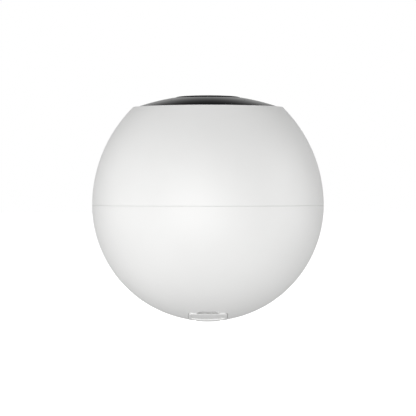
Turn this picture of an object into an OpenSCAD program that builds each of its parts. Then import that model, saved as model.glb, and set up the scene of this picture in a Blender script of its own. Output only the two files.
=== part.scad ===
// Ball-shaped table-top smart speaker: a white shell in two halves, a black
// dome that floats in the crown opening with a push button in its middle, and
// a hinged flap over the charging port low on the front.
// Millimetres. Origin at the centre of the foot flat, +Z up, flap towards -Y.

/* [Shell] */
// Diameter of the ball at the seam
ball_d = 100; // [90:1:120]
// Radius of the arc that the upper half follows
crown_r = 59.5; // [56:0.5:66]
// Shell wall thickness
wall = 2.5; // [2:0.1:3]
// Radius of the crown opening
rim_r = 31.6; // [31.2:0.1:33]
// Height of the seam above the foot flat
centre_z = 50.1; // [50.1:0.1:62]

/* [Dome] */
// Outer radius of the dome
dome_r = 30.9; // [30:0.1:31.2]
// Radius of curvature of the dome's face
dome_curve = 92.4; // [80:0.2:120]
// Crown of the dome's face above the seam
dome_top = 47.6; // [46:0.1:49]
// Thickness of the dome
dome_wall = 1.8; // [1.2:0.1:2.4]

/* [Button] */
// Radius of the push button
button_r = 14.2; // [12:0.1:14.2]
// Crown of the button above the seam
button_top = 47.4; // [46.5:0.1:48.5]
// Radius of curvature of the button's face
button_curve = 185; // [120:1:300]
// Spring turns under the button
spring_turns = 5; // [3:1:7]

/* [Port flap] */
// Width of the flap
flap_w = 16.3; // [14:0.1:16.4]
// Angle from straight down to the port's middle
port_angle = 16.35; // [15:0.05:18]
// How far the flap stands proud of the shell
flap_proud = 0.25; // [0.1:0.05:0.5]
// Width of the fingernail scoop above the flap
scoop_w = 9.5; // [7:0.1:12]

/* [Driver] */
// Radius of the magnet
magnet_r = 20; // [17:0.5:20.5]
// Radius of the voice coil former
former_r = 9.95; // [8:0.05:10]
// Thickness of the cone
cone_t = 0.5; // [0.3:0.1:0.8]

/* [Battery] */
// Diameter of one cell
cell_d = 18.4; // [17:0.1:18.4]
// Length of one cell
cell_l = 65; // [50:1:66]

/* [Hidden] */
$fn = 96;
ball_r = ball_d / 2;
crown_in = crown_r - ball_r;
lip_r = 0.5;
lip_x = rim_r + lip_r;
lip_z = sqrt(pow(crown_r - lip_r, 2) - pow(lip_x + crown_in, 2));
lip_slope = lip_z / (lip_x + crown_in);
tongue_t = 1.1;
tongue_h = 1.5;
rebate_h = 1.8;
groove_w = 0.2;

shelf_z = 26;
shelf_top = 28.5;
shelf_r = 24;
post_r = 3.6;
boss_r = 2.5;
tie_r = 28.5;
tie_at = [60, 120, 240, 300];
leg_r = 27.9;
leg_at = [30, 150, 210, 330];
ear_r = 27.5;
ear_at = [0, 90, 180, 270];
board_r = 36;

foot_r = 5.35;
foot_top = -48.6;
foot_boss_r = 8.5;

flap_free = 6.1;
flap_back = 5.2;
flap_corner = 2.2;
flap_inner = 48.6;
flap_gap = 0.25;
port_y = -0.4;
port_w = 9.4;
port_h = 3.6;
plug_seat = 48.2;
port_posts = [-11.5, 11.5];
hinge_y = 7.01;
hinge_z = -48.34;
barrel_r = 0.8;
barrel_half = 5;
pin_r = 0.4;
scoop_r = 1.15;
scoop_angle = 24.75;

carrier_z = 36;
carrier_top = 37.2;
carrier_r = 30.3;
cboard_z = 40;
cboard_top = 41.2;
cboard_r = 24.5;
cboard_screws = [60, 180, 300];
mic_r = 22;
mic_at = [45, 135, 225, 315];
ring_in = 14.3;
ring_out = 14.95;
ring_seat = 43.4;
spring_r = 9;
spring_at = [30, 150, 270];

cell_z = -17;
cell_y = 9.3;
cradle_z = -29;
cradle_t = 1.6;
cradle_screws = [[20, 14], [-20, 14], [20, -14], [-20, -14]];
clamp_screws = [[0, 23], [0, -23]];
weight_top = -39;
weight_screws = [[0, 15], [15, 2], [-15, 2]];
main_z = -5.6;
main_top = -4;

white_shell = [0.93, 0.93, 0.93];
black_gloss = [0.05, 0.05, 0.06];
black_matte = [0.12, 0.12, 0.13];
grey_part = [0.35, 0.36, 0.38];
steel = [0.7, 0.71, 0.73];
brass = [0.8, 0.66, 0.35];
board_green = [0.08, 0.3, 0.2];
copper = [0.75, 0.42, 0.25];

// ---- helpers ----

// heights below are measured from the seam plane, where the ball's centre is
module about_centre() {
    translate([0, 0, centre_z]) children();
}

// straight down turned to the port's direction
module at_port() {
    rotate([-port_angle, 0, 0]) children();
}

module ring_at(r, angles) {
    for (a = angles) rotate([0, 0, a]) translate([r, 0, 0]) children();
}

module disc(r, z0, z1) {
    translate([0, 0, z0]) cylinder(r = r, h = z1 - z0);
}

module tube(r_out, r_in, z0, z1) {
    difference() {
        disc(r_out, z0, z1);
        disc(r_in, z0 - 1, z1 + 1);
    }
}

module block(x, y, z) {
    translate([x[0], y[0], z[0]]) cube([x[1] - x[0], y[1] - y[0], z[1] - z[0]]);
}

module pill(w, h) {
    square([w - h, h], center = true);
    for (s = [-1, 1]) translate([s * (w - h) / 2, 0]) circle(d = h);
}

// pan head with a hex socket, seat at z = 0, shank pointing down
module screw(head_r, head_h, shank_r, length) {
    difference() {
        disc(head_r, 0, head_h);
        translate([0, 0, head_h * 0.45]) cylinder(r = head_r * 0.5, h = head_h, $fn = 6);
    }
    disc(shank_r, -length, 0);
}

// bent piece of round wire, between two angles about Z
module wire_arc(r, bend_r, a0, a1) {
    rotate([0, 0, a0]) rotate_extrude(angle = a1 - a0) translate([bend_r, 0])
        circle(r = r, $fn = 32);
}

// flat strip seen from its side: a path in the plane given a thickness
function unit(v) = v / norm(v);
function turn(v) = [-v[1], v[0]];
function along(p, i) = unit(p[min(i + 1, len(p) - 1)] - p[max(i - 1, 0)]);
function beside(p, i, t) = p[i] + turn(along(p, i)) * t / 2;

module strip(path, t, w) {
    last = len(path) - 1;
    outline = concat(
        [for (i = [0 : last]) beside(path, i, t)],
        [for (i = [last : -1 : 0]) beside(path, i, -t)]
    );
    rotate([90, 0, 0]) translate([0, 0, -w / 2]) linear_extrude(w) polygon(outline);
}

// points on an arc, for strips that bend
function bend(c, r, a0, a1, n) = [
    for (i = [0 : n]) c + r * [cos(a0 + (a1 - a0) * i / n), sin(a0 + (a1 - a0) * i / n)]
];

// ---- shell ----

module crown_area(r) {
    intersection() {
        translate([-crown_in, 0]) circle(r = r);
        square([ball_d, ball_d]);
    }
}

module seam_groove() {
    translate([ball_r, 0]) rotate(45) square(groove_w, center = true);
}

module upper_profile() {
    lip_cut = [
        [0, 0], [ball_d, 0], [ball_d, lip_z + (ball_d - lip_x) * lip_slope],
        [lip_x, lip_z], [0, lip_z]
    ];
    difference() {
        union() {
            intersection() {
                crown_area(crown_r);
                polygon(lip_cut);
            }
            translate([lip_x, lip_z]) circle(r = lip_r);
            translate([ball_r - wall, -tongue_h]) square([tongue_t, tongue_h + 1]);
        }
        difference() {
            union() {
                crown_area(crown_r - wall);
                translate([0, shelf_top]) square([rim_r, ball_d]);
            }
            translate([shelf_r, shelf_z]) square([ball_r, shelf_top - shelf_z]);
        }
        seam_groove();
    }
}

module upper_shell() {
    color(white_shell) about_centre() difference() {
        union() {
            rotate_extrude() upper_profile();
            ring_at(tie_r, tie_at) disc(post_r, 0, shelf_z + 0.5);
            ring_at(leg_r, leg_at) disc(boss_r, shelf_z - 6, shelf_z + 0.5);
            ring_at(ear_r, ear_at) disc(boss_r, shelf_z - 4, shelf_z + 0.5);
        }
        ring_at(tie_r, tie_at) disc(1.6, -1, shelf_top + 1);
        ring_at(leg_r, leg_at) disc(1, shelf_z - 5.5, shelf_top + 1);
        ring_at(ear_r, ear_at) disc(1.2, shelf_z - 3.5, shelf_top + 1);
        block([33.2, 34.8], [-4.6, 4.6], [shelf_z - 1, shelf_top + 1]);
    }
}

module lower_profile() {
    difference() {
        intersection() {
            circle(r = ball_r);
            translate([0, -ball_d]) square([ball_d, ball_d]);
        }
        difference() {
            circle(r = ball_r - wall);
            difference() {
                translate([0, -ball_d]) square([foot_boss_r, ball_d]);
                circle(r = ball_r - wall - 1.5);
            }
        }
        translate([0, -rebate_h]) square([ball_r - wall + tongue_t + 0.1, ball_r]);
        seam_groove();
    }
}

// posts and bosses that stand on the inside of the lower shell
module lower_posts() {
    intersection() {
        sphere(r = ball_r - 1);
        union() {
            ring_at(tie_r, tie_at) disc(post_r, -ball_r, 0);
            ring_at(board_r, ear_at) disc(boss_r, -ball_r, main_z);
            for (p = cradle_screws) translate(p) disc(boss_r, -ball_r, cradle_z);
            for (p = weight_screws) translate(p) disc(boss_r, -ball_r, -43);
            at_port() for (x = port_posts)
                translate([x, port_y, 0]) disc(2, -ball_r, -39.85);
        }
    }
}

// thicker wall around the charging port
module port_block() {
    at_port() intersection() {
        difference() {
            sphere(r = ball_r - wall + 0.5);
            sphere(r = ball_r - wall - 1.45);
        }
        block([-10.5, 10.5], [-9.5, 9.5], [-ball_r, 0]);
    }
}

module flap_outline(grow) {
    half = flap_w / 2 + grow;
    free = -flap_free - grow;
    corner = flap_corner + grow;
    translate([-half, free + corner]) square([2 * half, flap_back - free - corner]);
    translate([corner - half, free]) square([2 * (half - corner), corner]);
    for (s = [-1, 1]) translate([s * (half - corner), free + corner]) circle(r = corner);
}

module flap_pocket() {
    at_port() {
        difference() {
            translate([0, 0, -ball_d]) linear_extrude(ball_d) flap_outline(flap_gap);
            sphere(r = flap_inner - 0.2);
        }
        block([-8.4, 8.4], [4, hinge_y + 1.2], [-ball_r - 1, -47.2]);
        translate([0, port_y, -ball_r]) linear_extrude(ball_r - 40) pill(port_w, port_h);
    }
}

module hinge_lugs() {
    at_port() for (s = [-1, 1]) {
        translate([s * 6.7, hinge_y, hinge_z]) rotate([0, 90, 0])
            cylinder(r = 0.7, h = 2.8, center = true);
        block([s * 6.7 - 1.4, s * 6.7 + 1.4], [hinge_y - 0.7, hinge_y + 0.7], [hinge_z, -46.8]);
    }
}

module nail_scoop() {
    half = scoop_w / 2 - scoop_r;
    rotate([-scoop_angle, 0, 0]) translate([0, 0, -ball_r]) {
        rotate([0, 90, 0]) cylinder(r = scoop_r, h = 2 * half, center = true);
        for (s = [-1, 1]) translate([s * half, 0, 0]) sphere(r = scoop_r);
    }
}

module lower_shell() {
    color(white_shell) about_centre() difference() {
        union() {
            difference() {
                union() {
                    rotate_extrude() lower_profile();
                    lower_posts();
                    port_block();
                }
                flap_pocket();
            }
            hinge_lugs();
        }
        nail_scoop();
        disc(foot_r + 0.1, -ball_r - 1, foot_top);
        disc(1.6, -ball_r, -45);
        ring_at(tie_r, tie_at) disc(2.2, -7, 1);
        ring_at(tie_r, tie_at) disc(1.6, -12, 1);
        ring_at(board_r, ear_at) disc(1, main_z - 8, main_z + 1);
        for (p = cradle_screws) translate(p) disc(1, cradle_z - 7, cradle_z + 1);
        for (p = weight_screws) translate(p) disc(1.2, -46.3, -42);
        at_port() {
            for (x = port_posts) translate([x, port_y, 0]) disc(0.8, -45.5, -39);
            translate([0, hinge_y, hinge_z]) rotate([0, 90, 0])
                translate([0, 0, -8]) cylinder(r = pin_r + 0.02, h = 18, $fn = 32);
        }
    }
}

module seam_seal() {
    color(black_matte) about_centre() tube(48.55, 47.6, -rebate_h, -tongue_h);
}

module base_pad() {
    top = foot_top + centre_z;
    profile = [
        [0, 0], [foot_r - 0.35, 0], [foot_r - 0.1, 0.1], [foot_r, 0.35],
        [foot_r, top], [1.5, top], [1.5, top + 2.4], [0, top + 2.4]
    ];
    color(grey_part) rotate_extrude() polygon(profile);
}

// ---- port flap ----

module port_flap() {
    color(white_shell) about_centre() at_port() difference() {
        union() {
            intersection() {
                difference() {
                    sphere(r = ball_r + flap_proud);
                    sphere(r = flap_inner);
                }
                translate([0, 0, -ball_d]) linear_extrude(ball_d) flap_outline(0);
            }
            translate([0, port_y, -48.8]) linear_extrude(48.8 - plug_seat) pill(8.6, 2.6);
            block([-barrel_half, barrel_half], [flap_back - 0.5, hinge_y], [-49.05, -48.25]);
            translate([0, hinge_y, hinge_z]) rotate([0, 90, 0])
                cylinder(r = barrel_r, h = 2 * barrel_half, center = true);
        }
        translate([0, hinge_y, hinge_z]) rotate([0, 90, 0])
            cylinder(r = pin_r + 0.05, h = 12, center = true, $fn = 32);
    }
}

module flap_seal() {
    color(grey_part) about_centre() at_port() translate([0, port_y, -plug_seat])
        linear_extrude(plug_seat - 47.4) pill(8.6, 2.6);
}

module flap_hinge_pin() {
    color(steel) about_centre() at_port() translate([0, hinge_y, hinge_z])
        rotate([0, 90, 0]) cylinder(r = pin_r, h = 15.8, center = true, $fn = 32);
}

// ---- dome group ----

module dome_area(r) {
    intersection() {
        translate([0, dome_top - dome_curve]) circle(r = r, $fn = 360);
        square([dome_r, ball_d]);
    }
}

module dome_profile() {
    difference() {
        dome_area(dome_curve);
        difference() {
            dome_area(dome_curve - dome_wall);
            translate([29.3, 40.3]) square([5, 5]);
        }
        square([ring_out + 0.1, ball_d]);
        square([dome_r + 1, 40.3]);
    }
}

module dome_cover() {
    color(black_gloss) about_centre() difference() {
        rotate_extrude() dome_profile();
        ring_at(mic_r, mic_at) disc(0.45, 40, 48);
    }
}

module button_profile() {
    shoulder = [[0, 43.35], [button_r, 43.35], [button_r, 46.3], [12, 46.95], [0, 48.5]];
    difference() {
        union() {
            intersection() {
                translate([0, button_top - button_curve]) circle(r = button_curve, $fn = 720);
                polygon(shoulder);
            }
            translate([0, 42.75]) square([15.6, 0.61]);
        }
        translate([0, 42]) square([13, 3.8]);
    }
    translate([0, 43.35]) square([2.5, 3]);
}

module button_cap() {
    color(black_matte) about_centre() rotate_extrude() button_profile();
}

module light_ring() {
    color([0.75, 0.78, 0.8]) about_centre() {
        tube(ring_out, ring_in, ring_seat, 46.2);
        tube(17.5, ring_in, ring_seat, ring_seat + 0.6);
    }
}

module gap_mesh() {
    color(black_matte) about_centre() tube(31.55, carrier_r + 0.05, 39.4, 40);
}

module dome_carrier() {
    profile = [
        [0, 31.2], [1.2, 31.4], [14, carrier_z], [carrier_r, carrier_z], [carrier_r, 40.2],
        [29.2, 40.2], [29.2, 40.8], [28, 40.8], [28, carrier_top], [13.2, carrier_top],
        [0, 32.6]
    ];
    color(black_matte) about_centre() difference() {
        union() {
            rotate_extrude() polygon(profile);
            ring_at(leg_r, leg_at) disc(2.2, shelf_top, carrier_top);
            ring_at(18, cboard_screws) disc(2.3, carrier_top - 0.5, cboard_z);
        }
        ring_at(leg_r, leg_at) disc(1.1, shelf_top - 1, 48);
        ring_at(leg_r, leg_at) disc(1.95, carrier_top - 0.01, 48);
        ring_at(18, cboard_screws) disc(0.8, carrier_z + 0.6, 48);
        block([25.6, 27.4], [-4.6, 4.6], [carrier_z - 1, 39]);
    }
}

module control_board() {
    color(board_green) about_centre() difference() {
        disc(cboard_r, cboard_z, cboard_top);
        ring_at(18, cboard_screws) disc(0.95, cboard_z - 1, cboard_top + 1);
        disc(1, cboard_z - 1, cboard_top + 1);
    }
}

module ring_leds() {
    color([0.9, 0.9, 0.8]) about_centre() ring_at(14.6, [15 : 30 : 345])
        block([-0.8, 0.8], [-0.8, 0.8], [cboard_top, cboard_top + 0.6]);
}

module microphones() {
    color(steel) about_centre() ring_at(mic_r, mic_at)
        block([-1.4, 1.4], [-1.9, 1.9], [cboard_top, cboard_top + 1]);
}

module mic_gaskets() {
    color(black_matte) about_centre() ring_at(mic_r, mic_at)
        tube(1.3, 0.6, cboard_top + 1, 42.7);
}

module tact_switch() {
    color(black_matte) about_centre() difference() {
        block([-3.1, 3.1], [-3.1, 3.1], [cboard_top, cboard_top + 1.4]);
        disc(1.82, cboard_top + 0.4, cboard_top + 2);
    }
}

module switch_plunger() {
    color(grey_part) about_centre() disc(1.75, cboard_top + 0.9, 43.3);
}

module button_springs() {
    low = cboard_top + 0.22;
    pitch = (45.57 - low) / (spring_turns - 1);
    color(steel) about_centre() ring_at(spring_r, spring_at)
        for (i = [0 : spring_turns - 1])
            translate([0, 0, low + i * pitch])
                rotate_extrude($fn = 32) translate([1.6, 0]) circle(r = 0.2, $fn = 16);
}

module carrier_screws() {
    color(steel) about_centre() ring_at(leg_r, leg_at)
        translate([0, 0, carrier_top]) screw(1.85, 1.2, 0.95, 15.5);
}

module control_board_screws() {
    color(steel) about_centre() ring_at(18, cboard_screws)
        translate([0, 0, cboard_top]) screw(1.6, 0.9, 0.75, 4);
}

// ---- driver ----

module driver_basket() {
    profile = [
        [11.5, 16.5], [21.5, 16.5], [23.4, 27.5], [23.4, 28.5], [25.5, 28.5], [25.5, 29.7],
        [22.4, 29.7], [22.4, 27.6], [20.6, 19.4], [18.9, 19.4], [18.9, 18.6], [17.5, 18.6],
        [17.5, 17.5], [11.5, 17.5]
    ];
    color(grey_part) about_centre() difference() {
        union() {
            rotate_extrude() polygon(profile);
            ring_at(ear_r, ear_at) disc(2.6, 28.5, 29.7);
            ring_at(25.5, ear_at) block([-1.5, 2], [-2.6, 2.6], [28.5, 29.7]);
        }
        for (a = [30 : 60 : 330]) rotate([0, 0, a])
            block([19, 24.5], [-4.5, 4.5], [20.6, 26.6]);
        ring_at(ear_r, ear_at) disc(1.3, 28, 31);
    }
}

module driver_gasket() {
    color(black_matte) about_centre() tube(25.4, 24.1, 29.7, 30.1);
}

module driver_top_plate() {
    color(steel) about_centre() tube(19, 11, 13.5, 16.5);
}

module driver_magnet() {
    color([0.2, 0.2, 0.22]) about_centre() tube(magnet_r, 11.8, 3.5, 13.5);
}

module driver_yoke() {
    color(steel) about_centre() difference() {
        union() {
            disc(18.5, 0.5, 3.5);
            disc(9.3, 3, 16.5);
        }
        disc(3, 0, 17);
    }
}

module coil_former() {
    color([0.7, 0.55, 0.3]) about_centre() tube(former_r, former_r - 0.2, 8, 20.7);
}

module coil_winding() {
    color(copper) about_centre() tube(10.6, former_r, 11.4, 18.4);
}

module driver_cone() {
    profile = [
        [former_r + 0.03, 20.2], [10.6, 20.2], [21.5, 29.1], [22.1, 29.1], [22.1, 29.1 + cone_t],
        [21.3, 29.1 + cone_t], [former_r + 0.03, 20.73]
    ];
    color(grey_part) about_centre() rotate_extrude() polygon(profile);
}

// dished cap over the coil, resting on the cone
module dust_cap() {
    cap_r = 21.4;
    cap_z = 24.6 - cap_r;
    color(grey_part) about_centre() rotate_extrude() intersection() {
        difference() {
            translate([0, cap_z]) circle(r = cap_r);
            translate([0, cap_z]) circle(r = cap_r - 0.4);
        }
        translate([0, 21.55]) square([30, 10]);
    }
}

module driver_surround() {
    color(black_matte) about_centre() rotate_extrude() {
        difference() {
            translate([22.65, 29.75]) circle(r = 1.4);
            translate([22.65, 29.75]) circle(r = 1);
            translate([20, 27]) square([6, 2.75]);
        }
        translate([21.28, 29.62]) square([0.4, 0.4]);
        translate([23.62, 29.7]) square([0.42, 0.36]);
    }
}

// corrugated disc that centres the coil
module driver_spider() {
    color([0.75, 0.6, 0.3]) about_centre() rotate_extrude() {
        translate([former_r, 18.65]) square([1.1, 0.3]);
        translate([17, 18.65]) square([1.8, 0.3]);
        for (i = [0 : 2]) translate([12 + 2 * i, 18.65]) difference() {
            circle(r = 1.08);
            circle(r = 0.78);
            translate([-2, -4]) square([4, 4]);
        }
    }
}

module driver_terminals() {
    color(black_matte) about_centre() block([-4, 4], [22.2, 23.4], [18, 20.4]);
    color(brass) about_centre() for (x = [-2.5, 2.5])
        block([x - 0.8, x + 0.8], [22.5, 22.9], [14.5, 18]);
}

module driver_screws() {
    color(steel) about_centre() ring_at(ear_r, ear_at)
        translate([0, 0, 29.7]) screw(2.1, 1.4, 1.15, 6.5);
}

// ---- main board ----

module main_board() {
    color(board_green) about_centre() difference() {
        disc(40, main_z, main_top);
        ring_at(tie_r, tie_at) disc(post_r + 0.5, main_z - 1, main_top + 1);
        ring_at(board_r, ear_at) disc(1.2, main_z - 1, main_top + 1);
    }
}

module processor_shield() {
    color(steel) about_centre() block([-10, 8], [-12, 6], [main_top, -2.2]);
}

module wifi_module() {
    color(steel) about_centre() block([-32.5, -20.5], [-8, 8], [main_top, -1.8]);
}

module board_components() {
    color(black_matte) about_centre() {
        for (s = [-1, 1]) block([s * 22 - 4, s * 22 + 4], [-22, -14], [main_top, -0.4]);
        block([12, 19], [-10, -3], [main_top, -3.1]);
        block([-6, 0], [12, 18], [main_top, -3.1]);
        block([4, 9], [10, 15], [main_top, -3.2]);
    }
    color([0.25, 0.3, 0.5]) about_centre() for (y = [13, 21])
        translate([24.5, y, 0]) disc(3.1, main_top, 2);
}

module board_connectors() {
    color([0.9, 0.88, 0.8]) about_centre() {
        block([29, 33], [-5.2, 5.2], [main_top, -2]);
        block([-3.5, 3.5], [25, 29.5], [main_top, -0.6]);
        for (y = [-12.5, 6]) block([-37.5, -34], [y, y + 6.5], [-9.6, main_z]);
        block([-4.5, 4.5], [-28.6, -25.4], [-7.4, main_z]);
        block([14, 17.6], [-5.2, 5.2], [38.5, cboard_z]);
        at_port() block([-4.5, 4.5], [-6.8, -4.4], [-38.65, -37.2]);
    }
}

module main_board_screws() {
    color(steel) about_centre() ring_at(board_r, ear_at)
        translate([0, 0, main_top]) screw(2, 1.3, 0.95, 8);
}

module antenna() {
    color(board_green) about_centre() block([-25, -11], [30.2, 31], [main_top, 7.5]);
    color(copper) about_centre() {
        block([-24, -12], [31, 31.1], [5.8, 6.8]);
        for (x = [-24, -20, -16]) block([x, x + 1], [31, 31.1], [-3, 6.8]);
    }
}

// ---- battery ----

module battery_cradle() {
    color(black_matte) about_centre() difference() {
        union() {
            block([-24, 24], [-16.8, 16.8], [cradle_z, cradle_z + cradle_t]);
            block([-6, 6], [-25.5, 25.5], [cradle_z, cradle_z + cradle_t]);
            for (s = [-1, 1])
                block([s * 13 - 1.5, s * 13 + 1.5], [-20, 20], [cradle_z, cell_z + 1]);
        }
        for (s = [-1, 1]) translate([-40, s * cell_y, cell_z]) rotate([0, 90, 0])
            cylinder(d = cell_d + 0.1, h = 80);
        for (p = cradle_screws) translate(p) disc(1.1, cradle_z - 1, cell_z);
        for (p = clamp_screws) translate(p) disc(1, cradle_z - 1, cell_z);
        for (s = [-1, 1]) block([s * 5 - 3, s * 5 + 3], [-10, 10], [cradle_z - 1, cell_z]);
    }
}

module battery_cells() {
    color([0.15, 0.35, 0.6]) about_centre() for (s = [-1, 1])
        translate([0, s * cell_y, cell_z]) rotate([0, 90, 0]) {
            cylinder(d = cell_d, h = cell_l, center = true);
            translate([0, 0, s * (cell_l / 2 + 0.4)]) cylinder(d = 6, h = 0.8, center = true);
        }
}

// one tab on each end of each cell, further out where the terminal stands proud
module battery_tabs() {
    color(steel) about_centre() for (s = [-1, 1], e = [-1, 1]) {
        x = e * (cell_l / 2 + (s == e ? 0.9 : 0.1));
        block([x - 0.1, x + 0.1], [s * cell_y - 3.5, s * cell_y + 3.5], [cell_z - 3, cell_z + 3]);
    }
}

module battery_clamp() {
    top = cell_z + cell_d / 2;
    color(steel) about_centre() difference() {
        union() {
            block([-5, 5], [-20.6, 20.6], [top, top + 0.8]);
            for (s = [-1, 1]) {
                y = s * 20.2;
                block([-5, 5], [y - 0.4, y + 0.4], [cradle_z + cradle_t, top + 0.8]);
                block([-5, 5], [s * 22.8 - 2.6, s * 22.8 + 2.6],
                      [cradle_z + cradle_t, cradle_z + cradle_t + 0.8]);
            }
        }
        for (p = clamp_screws) translate(p) disc(1.2, cradle_z, cell_z);
    }
}

module battery_screws() {
    color(steel) about_centre() {
        for (p = cradle_screws) translate(p)
            translate([0, 0, cradle_z + cradle_t]) screw(1.9, 1.2, 0.95, 7);
        for (p = clamp_screws) translate(p)
            translate([0, 0, cradle_z + cradle_t + 0.8]) screw(1.9, 1.2, 0.95, 3.5);
    }
}

// ---- base weight and port ----

module base_weight() {
    color(steel) about_centre() difference() {
        intersection() {
            sphere(r = ball_r - wall - 1.6);
            disc(20.5, -ball_r, weight_top);
        }
        block([-14.8, 14.8], [-30, -3.6], [-ball_r, 0]);
        disc(2, -ball_r, 0);
        for (p = weight_screws) translate(p) {
            disc(boss_r + 0.15, -ball_r, -43);
            disc(1.5, -ball_r, 0);
        }
    }
}

module base_weight_screws() {
    color(steel) about_centre() for (p = weight_screws) translate(p)
        translate([0, 0, weight_top]) screw(2.5, 1.5, 1.15, 6.8);
}

module port_board() {
    color(board_green) about_centre() at_port() difference() {
        block([-13.7, 13.7], [-7, 5.4], [-39.85, -38.65]);
        for (x = port_posts) translate([x, port_y, 0]) disc(1, -41, -38);
    }
}

module usb_receptacle() {
    color(steel) about_centre() at_port() translate([0, port_y, 0]) {
        difference() {
            translate([0, 0, -47]) linear_extrude(47 - 39.85) pill(8.94, 3.2);
            translate([0, 0, -48]) linear_extrude(7) pill(8.34, 2.6);
        }
        block([-3.35, 3.35], [-0.35, 0.35], [-46.4, -40.9]);
    }
}

module port_board_screws() {
    color(steel) about_centre() at_port() for (x = port_posts)
        translate([x, port_y, -38.65]) screw(1.7, 1, 0.75, 5);
}

// ---- joining hardware and wires ----

module tie_screws() {
    color(steel) about_centre() ring_at(tie_r, tie_at)
        translate([0, 0, shelf_top]) screw(2.7, 2, 1.45, 35);
}

module threaded_inserts() {
    color(brass) about_centre() ring_at(tie_r, tie_at) tube(2.2, 1.5, -6.8, -0.6);
}

// from the driver's terminals down to the main board, with an S-bend
module driver_leads() {
    r = 0.55;
    bend_r = 4.5;
    for (s = [-1, 1]) color(s > 0 ? [0.8, 0.1, 0.1] : [0.1, 0.1, 0.1]) about_centre()
        translate([s * 2.5, 0, 0]) {
            translate([0, 22.7, 8]) cylinder(r = r, h = 6.45, $fn = 32);
            translate([0, 27.2, 8]) rotate([90, 0, 90]) wire_arc(r, bend_r, 180, 240);
            translate([0, 22.7, 8 - 2 * bend_r * sin(60)]) rotate([90, 0, 90])
                wire_arc(r, bend_r, 0, 60);
            translate([0, 27.2, -0.55]) cylinder(r = r, h = 8.55 - 2 * bend_r * sin(60), $fn = 32);
        }
}

// from one end of the cells up to the main board
module battery_leads() {
    r = 0.6;
    bend_r = 1.9;
    lead_x = -cell_l / 2 - 1.2;
    lead_z = cell_z + 0.2;
    for (s = [-1, 1]) {
        start = s > 0 ? -cell_l / 2 - 0.2 : -cell_l / 2 - 1;
        color(s > 0 ? [0.8, 0.1, 0.1] : [0.1, 0.1, 0.1]) about_centre()
            translate([0, s * cell_y, 0]) {
                translate([start, 0, lead_z]) rotate([0, -90, 0])
                    cylinder(r = r, h = start - lead_x, $fn = 32);
                translate([lead_x, 0, lead_z + bend_r]) rotate([90, 0, 0])
                    wire_arc(r, bend_r, 180, 270);
                translate([lead_x - bend_r, 0, lead_z + bend_r])
                    cylinder(r = r, h = -9.65 - lead_z - bend_r, $fn = 32);
            }
    }
}

// flat ribbon from the control board down to the main board
module control_ribbon() {
    path = concat(
        [[17.65, 39.2], [24.5, 39.2]],
        bend([24.5, 37.2], 2, 80, 0, 5),
        [[26.5, 35], [26.9, 33.5], [33, 31], [33.8, 30.2], [34, 29.2], [34, 3]],
        bend([31.5, 3], 2.5, -10, -60, 5),
        [[32, -1.9]]
    );
    color([0.85, 0.85, 0.8]) about_centre() strip(path, 0.3, 8);
}

// flat ribbon from the port board up the front to the main board
module port_ribbon() {
    path = [
        [-17.4, -34.4], [-20.5, -33.6], [-24, -32.2], [-26.3, -30.2], [-27.2, -27.8],
        [-27.2, -7.5]
    ];
    color([0.85, 0.85, 0.8]) about_centre() rotate([0, 0, 90]) strip(path, 0.3, 6);
}

upper_shell();
lower_shell();
seam_seal();
base_pad();
port_flap();
flap_seal();
flap_hinge_pin();
dome_cover();
button_cap();
light_ring();
gap_mesh();
dome_carrier();
control_board();
ring_leds();
microphones();
mic_gaskets();
tact_switch();
switch_plunger();
button_springs();
carrier_screws();
control_board_screws();
driver_basket();
driver_gasket();
driver_top_plate();
driver_magnet();
driver_yoke();
coil_former();
coil_winding();
driver_cone();
dust_cap();
driver_surround();
driver_spider();
driver_terminals();
driver_screws();
main_board();
processor_shield();
wifi_module();
board_components();
board_connectors();
main_board_screws();
antenna();
battery_cradle();
battery_cells();
battery_tabs();
battery_clamp();
battery_screws();
base_weight();
base_weight_screws();
port_board();
usb_receptacle();
port_board_screws();
tie_screws();
threaded_inserts();
driver_leads();
battery_leads();
control_ribbon();
port_ribbon();
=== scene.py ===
import bpy
import math
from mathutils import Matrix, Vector


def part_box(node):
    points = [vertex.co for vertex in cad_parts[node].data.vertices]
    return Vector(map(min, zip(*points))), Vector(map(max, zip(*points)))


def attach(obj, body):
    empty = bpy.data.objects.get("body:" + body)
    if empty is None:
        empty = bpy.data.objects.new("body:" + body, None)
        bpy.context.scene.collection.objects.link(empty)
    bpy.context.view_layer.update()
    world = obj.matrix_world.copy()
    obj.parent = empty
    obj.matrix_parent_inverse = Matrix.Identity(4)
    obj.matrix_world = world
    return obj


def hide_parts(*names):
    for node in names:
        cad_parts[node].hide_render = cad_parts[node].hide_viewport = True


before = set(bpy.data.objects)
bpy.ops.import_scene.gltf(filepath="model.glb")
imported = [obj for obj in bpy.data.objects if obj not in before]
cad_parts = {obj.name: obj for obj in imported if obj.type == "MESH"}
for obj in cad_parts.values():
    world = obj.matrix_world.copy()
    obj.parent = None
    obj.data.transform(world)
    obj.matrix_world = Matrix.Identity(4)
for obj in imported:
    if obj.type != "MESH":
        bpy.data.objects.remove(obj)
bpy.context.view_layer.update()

MM = 0.001
scene = bpy.context.scene

# ---- where the CAD puts things ----

seam_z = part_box("lower_shell")[1].z
ball_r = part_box("lower_shell")[1].x / MM
PORT_ANGLE = math.radians(16.35)      # from straight down to the port's middle
CROWN_R = 59.5                        # arc of the upper half
CROWN_IN = CROWN_R - ball_r           # its centre lies this far past the axis
DOME_R = 92.4
DOME_TOP = 47.6
BUTTON_R = 185.0
BUTTON_TOP = 47.4


# ---- camera, light and stage ----

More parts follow.
